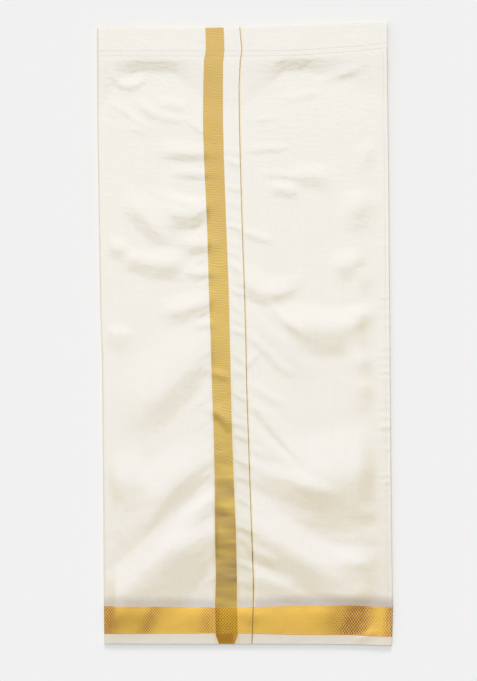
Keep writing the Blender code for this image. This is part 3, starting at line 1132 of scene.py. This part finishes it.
class DHOTI_OT_hem(Operator):
    """Make the front stretch's free edge, turned under and sewn down"""

    bl_idname = "dhoti.hem"
    bl_label = "Side hem"

    def execute(self, context):
        hem_width = context.scene.dhoti.hem_width

        def place(u, v):
            from_fold, bulge, depth, back = hairpin(u, HEM_COLUMNS, FOLD_ROWS)
            right = side_x(nominal_y(v), "right")
            fold = right - WALL / 2 - STEP / 2
            seam = right - hem_width
            x = fold + (seam - fold) * from_fold + bulge
            y = panel_y(x, v)
            level = front_level(seam, panel_y(seam, v))
            z = level - depth - seam_dip(x - seam) * (depth < STEP / 2)
            return x, y, z, np.where(back > 0, 2 * fold - x, x), y

        cloth("hem_stretch", "side_hem", 2 * HEM_COLUMNS + FOLD_ROWS, HEM_ROWS, place)
        return {"FINISHED"}


def casing_y(x, from_fold, bulge, inset):
    """Y of a ply of a casing, from the stitching to the top fold."""
    fold = end_y(x, "top") - inset - WALL / 2 - STEP / 2
    return fold + (end_y(x, "stitch") - fold) * from_fold + bulge


def turned_y(x, y, back, inset):
    """Y of a casing's cloth laid out flat: its inner ply goes on past the top fold."""
    return np.where(back > 0, 2 * (end_y(x, "top") - inset) - y, y)


class DHOTI_OT_casings(Operator):
    """Make the waist casings, the turned-in tops of the three stretches"""

    bl_idname = "dhoti.casings"
    bl_label = "Waist casings"

    def execute(self, context):
        waist_left, waist_right = waist_sides()
        left = waist_left + WALL / 2 + WAIST_RADIUS
        right = waist_right - SIDE_INSET - WALL / 2 - WAIST_UNDER_RADIUS
        rows = 2 * PLY_ROWS + FOLD_ROWS

        def front(u, v):
            turn, over = shares(u, (TURN_STEPS, CASING_COLUMNS))
            from_fold, bulge, depth, back = hairpin(v, PLY_ROWS, FOLD_ROWS)
            angle = math.pi * turn
            x = left + (waist_right - left) * over - (WAIST_RADIUS - depth) * np.sin(angle)
            y = casing_y(x, from_fold, bulge, 0)
            dip = seam_dip(y - end_y(x, "stitch")) * (back == 0) * (over > 0)
            z = BACK_LEVEL + WAIST_RADIUS - (WAIST_RADIUS - depth) * np.cos(angle) - dip
            return x, y, z, x - WAIST_RADIUS * (1 - turn), turned_y(x, y, back, 0)

        def behind(u, v):
            over, turn = shares(u, (PANEL_COLUMNS, TURN_STEPS))
            from_fold, bulge, depth, back = hairpin(v, PLY_ROWS, FOLD_ROWS)
            angle = math.pi * turn
            x = left + (right - left) * over + (WAIST_UNDER_RADIUS - depth) * np.sin(angle)
            y = casing_y(x, from_fold, bulge, TOP_INSET)
            middle = BACK_LEVEL + WAIST_UNDER_RADIUS
            z = middle - (WAIST_UNDER_RADIUS - depth) * np.cos(angle)
            return x, y, z, 2 * waist_left - x, turned_y(x, y, back, TOP_INSET)

        def under(u, v):
            from_fold, bulge, depth, back = hairpin(v, PLY_ROWS, FOLD_ROWS)
            width = right - waist_left - UNDER_SHORT
            x = right - width * (1 - u)
            y = casing_y(x, from_fold, bulge, TOP_INSET)
            return x, y, UNDER_WAIST_LEVEL - depth, x - 2 * width, turned_y(x, y, back, TOP_INSET)

        cloth("front_casing", "waist_casing_front", TURN_STEPS + CASING_COLUMNS, rows, front)
        cloth("back_casing", "waist_casing_back", PANEL_COLUMNS + TURN_STEPS, rows, behind)
        cloth("under_casing", "waist_casing_under", PANEL_COLUMNS, rows, under)
        return {"FINISHED"}


STITCH_RADIUS = 0.19 * MM
STITCH_TOP = 0.6  # the share of a stitch's length that lies on the cloth
STITCH_DIVE = 0.3 * MM
STITCH_END = 0.5  # how thin its ends are, against its middle


def one_stitch(length):
    """A stitch along X, round in the middle and diving into the cloth at both ends."""
    deselect()
    bpy.ops.mesh.primitive_cylinder_add(
        vertices=6, radius=STITCH_RADIUS, depth=length * STITCH_TOP, rotation=(0, math.pi / 2, 0)
    )
    stitch = bpy.context.object
    bpy.ops.object.transform_apply(location=False, rotation=True, scale=False)
    for end in (-1, 1):
        bpy.ops.object.mode_set(mode="EDIT")
        bpy.ops.mesh.select_all(action="DESELECT")
        bpy.ops.object.mode_set(mode="OBJECT")
        for face in stitch.data.polygons:
            face.select = face.normal.x * end > 0.9
        bpy.ops.object.mode_set(mode="EDIT")
        bpy.ops.mesh.select_mode(type="FACE")
        move = (end * length * (1 - STITCH_TOP) / 2, 0, -STITCH_DIVE)
        bpy.ops.mesh.extrude_region_move(TRANSFORM_OT_translate={"value": move})
        bpy.ops.transform.resize(value=(1, STITCH_END, STITCH_END))
        bpy.ops.object.mode_set(mode="OBJECT")
    return stitch


def sew(name, rows):
    """Sew rows of stitches: each row is the points of its stitches and the way that each lies."""
    pattern = one_stitch(bpy.context.scene.dhoti.stitch_length)
    points = np.array([vert.co[:] for vert in pattern.data.vertices])
    faces = [tuple(face.vertices) for face in pattern.data.polygons]
    bpy.data.objects.remove(pattern, do_unlink=True)
    spots, ways = np.concatenate([row[0] for row in rows]), np.concatenate([row[1] for row in rows])
    ways = ways / np.linalg.norm(ways, axis=1)[:, None]
    sides = np.cross((0, 0, 1), ways)
    sides = sides / np.linalg.norm(sides, axis=1)[:, None]
    ups = np.cross(ways, sides)
    turned = (
        points[None, :, 0:1] * ways[:, None]
        + points[None, :, 1:2] * sides[:, None]
        + points[None, :, 2:3] * ups[:, None]
    )
    placed = (turned + spots[:, None]).reshape(-1, 3)
    firsts = [at * len(points) for at in range(len(spots))]
    mesh = bpy.data.meshes.new(name)
    copied = [tuple(i + first for i in face) for first in firsts for face in faces]
    mesh.from_pydata(placed.tolist(), [], copied)
    mesh.update()
    piece = bpy.data.objects.new(name, mesh)
    bpy.context.collection.objects.link(piece)
    show_only(piece)
    bpy.ops.object.shade_smooth()
    mesh.materials.append(thread_finish())
    return dress(piece)


class DHOTI_OT_sewing(Operator):
    """Sew the casing's two rows and the side hem's row in thread"""

    bl_idname = "dhoti.sewing"
    bl_label = "Sewing"

    PITCH = 3.1 * MM
    ROWS_APART = 8.5 * MM
    FIRST_ROW = 1.2 * MM  # from the edge of the cloth below
    PROUD = 0.12 * MM
    LEFT_GAP = 5 * MM
    RIGHT_GAP = 3 * MM
    FOOT_GAP = 3 * MM
    CASING_GAP = 2 * MM

    def execute(self, context):
        left, right = waist_sides()
        first, last = left + self.LEFT_GAP, right - self.RIGHT_GAP
        x = np.linspace(first, last, round((last - first) / self.PITCH))
        top = FRONT_WAIST_LEVEL + context.scene.dhoti.thickness / 2 + self.PROUD
        rows = []
        for above in (self.FIRST_ROW, self.FIRST_ROW + self.ROWS_APART):
            y = end_y(x, "stitch") + above
            z = np.full_like(x, top) - seam_dip(np.full_like(x, above))
            rows.append(self.row(x, y, z))
        sew("waist_stitches", rows)

        foot, stitch = end_y(right, "foot") + self.FOOT_GAP, end_y(right, "stitch") - self.CASING_GAP
        y = np.arange(foot, stitch, self.PITCH)
        seam = side_x(y, "right") - context.scene.dhoti.hem_width
        lift = context.scene.dhoti.thickness / 2 + self.PROUD - seam_dip(self.FIRST_ROW)
        sew("hem_stitches", [self.row(seam + self.FIRST_ROW, y, front_level(seam, y) + lift)])
        return {"FINISHED"}

    def row(self, x, y, z):
        """The middles of a row's stitches and the way that each lies."""
        spots = np.stack((x, y, z), axis=-1)
        return spots, np.gradient(spots, axis=0)


class DHOTI_OT_cloth_facts(Operator):
    """A step that does nothing yet"""

    bl_idname = "dhoti.cloth_facts"
    bl_label = "Cloth facts"

    LENGTH = 0.968
    CASING = 0.098

    def execute(self, context):
        return {"FINISHED"}


OPERATORS = (
    DHOTI_OT_stage,
    DHOTI_OT_back,
    DHOTI_OT_under,
    DHOTI_OT_front,
    DHOTI_OT_hem,
    DHOTI_OT_casings,
    DHOTI_OT_sewing,
    DHOTI_OT_cloth_facts,
)


class DHOTI_PT_pieces(Panel):
    """The dhoti's sizes, and a button for each of its pieces"""

    bl_idname = "DHOTI_PT_pieces"
    bl_label = "Dhoti"
    bl_space_type = "VIEW_3D"
    bl_region_type = "UI"
    bl_category = "Dhoti"

    def draw(self, context):
        for name in DhotiSizes.__annotations__:
            self.layout.prop(context.scene.dhoti, name)
        for operator in OPERATORS:
            self.layout.operator(operator.bl_idname)


CLASSES = (DhotiSizes, *OPERATORS, DHOTI_PT_pieces)


def register():
    """Add the dhoti's sizes, operators and panel to Blender."""
    for made in CLASSES:
        bpy.utils.register_class(made)
    bpy.types.Scene.dhoti = PointerProperty(type=DhotiSizes)


def unregister():
    """Take them out again."""
    del bpy.types.Scene.dhoti
    for made in reversed(CLASSES):
        bpy.utils.unregister_class(made)


def main():
    """Make the whole dhoti."""
    register()
    bpy.ops.dhoti.stage()
    bpy.ops.dhoti.back()
    bpy.ops.dhoti.under()
    bpy.ops.dhoti.front()
    bpy.ops.dhoti.hem()
    bpy.ops.dhoti.casings()
    bpy.ops.dhoti.sewing()
    bpy.ops.dhoti.cloth_facts()


if __name__ == "__main__":
    main()
